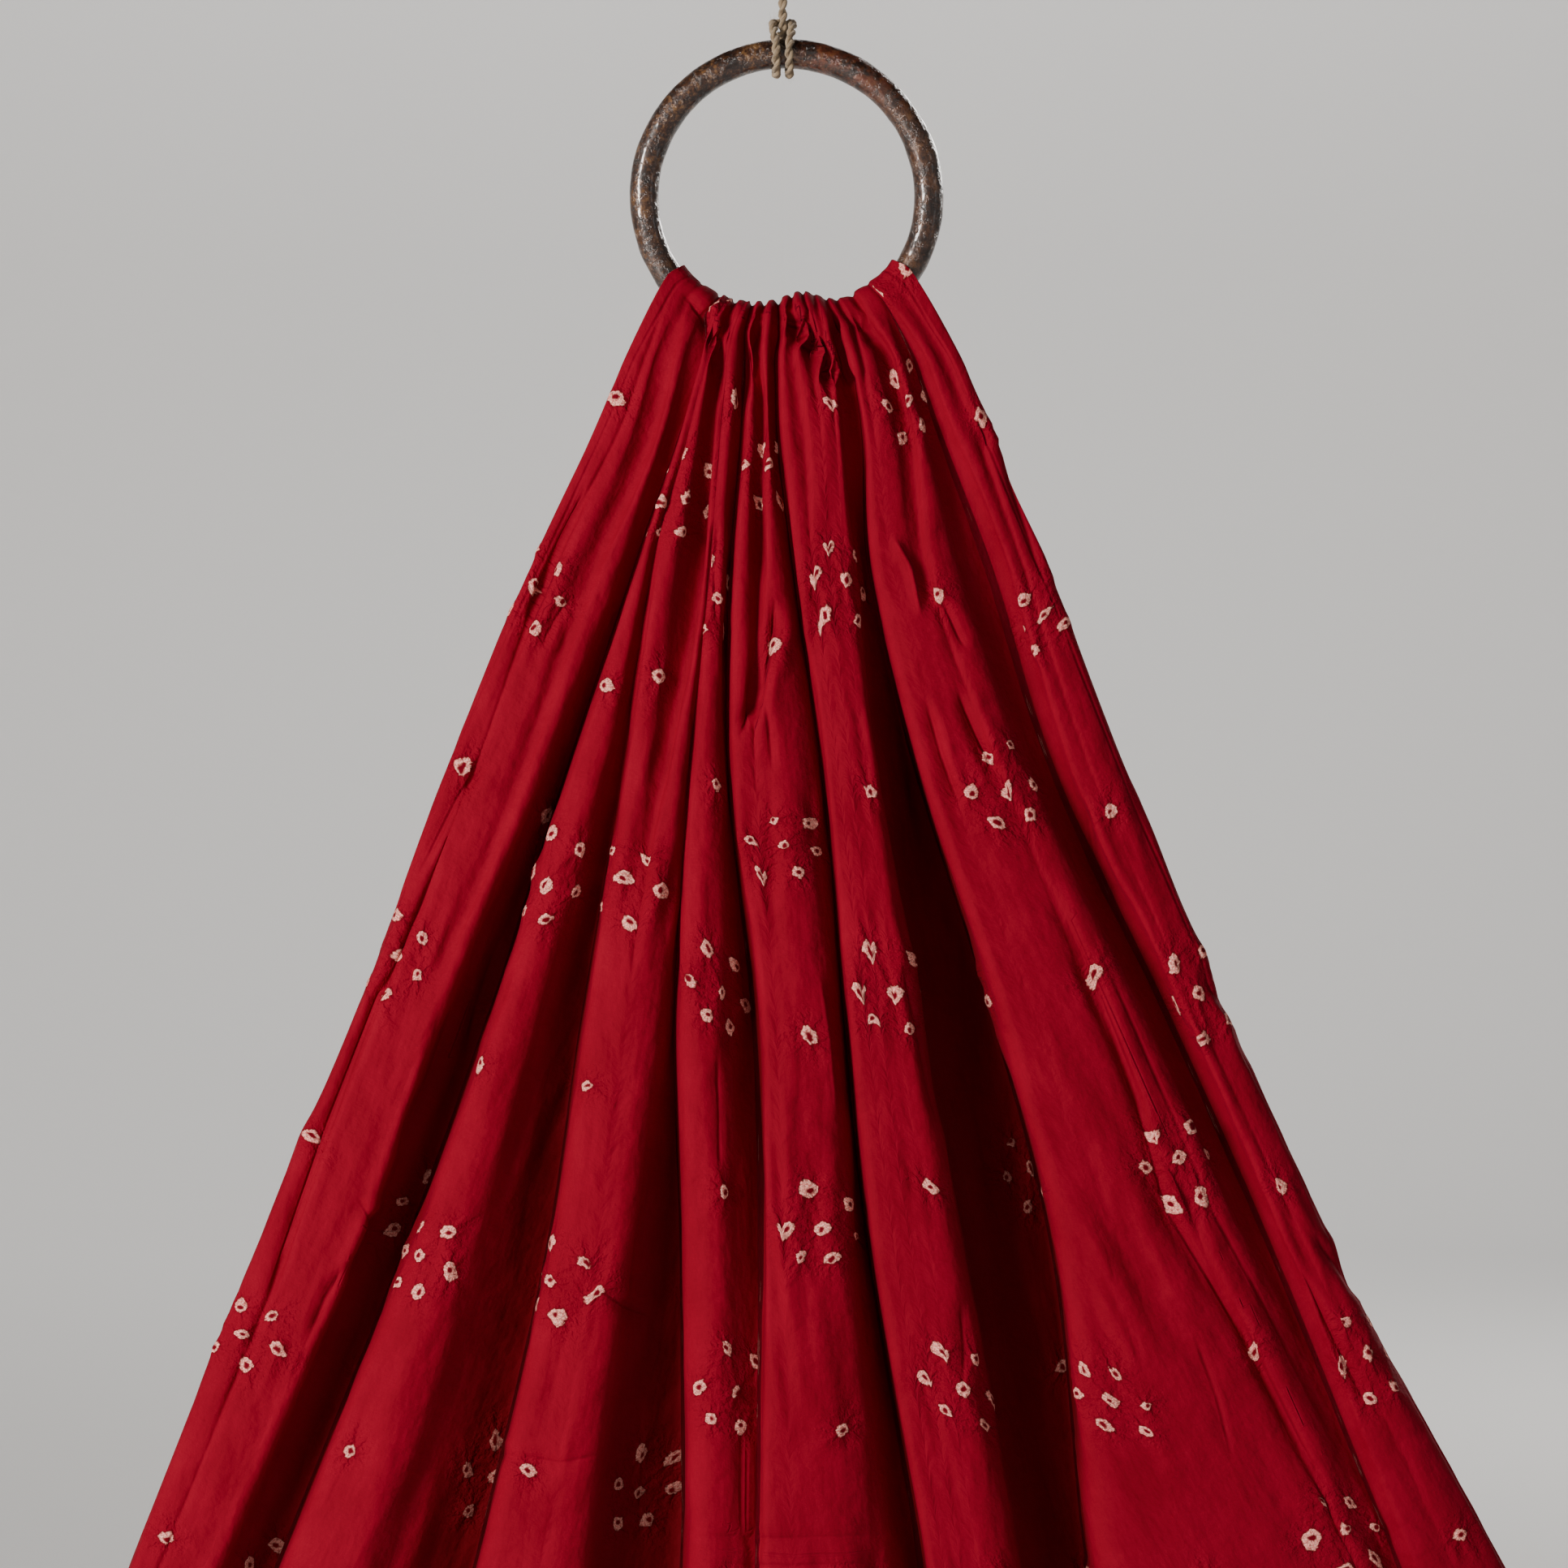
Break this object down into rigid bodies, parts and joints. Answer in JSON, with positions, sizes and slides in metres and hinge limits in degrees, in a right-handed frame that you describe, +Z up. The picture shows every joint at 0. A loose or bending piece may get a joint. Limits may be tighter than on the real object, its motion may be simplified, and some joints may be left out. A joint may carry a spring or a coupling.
{
  "type": "bandhani cloth hung through a ring",
  "caption": "Red tie-dyed bandhani cloth with small puckered dots, drawn through a dark brass ring and fanning out below it in soft hanging folds.",
  "frame": {"origin": "top of the twine's knot, where an outside hook or nail holds it", "axes": "+Z up along the twine; the front of the cloth faces -Y; +X to the right of the front"},
  "size_m": [0.4544, 0.0643, 0.5865],
  "materials": {
    "cloth": "soft matt red cotton voile with cream tie-dyed dots",
    "ring": "dark brown patina, glossy, lightly pitted",
    "twine": "two-ply tan jute, slightly hairy",
    "twine_knot": "two-ply tan jute, slightly hairy"
  },
  "bodies": {
    "root": {"cloth": "cloth", "ring": "ring", "twine": "twine", "twine_knot": "twine_knot"}
  },
  "joints": []
}
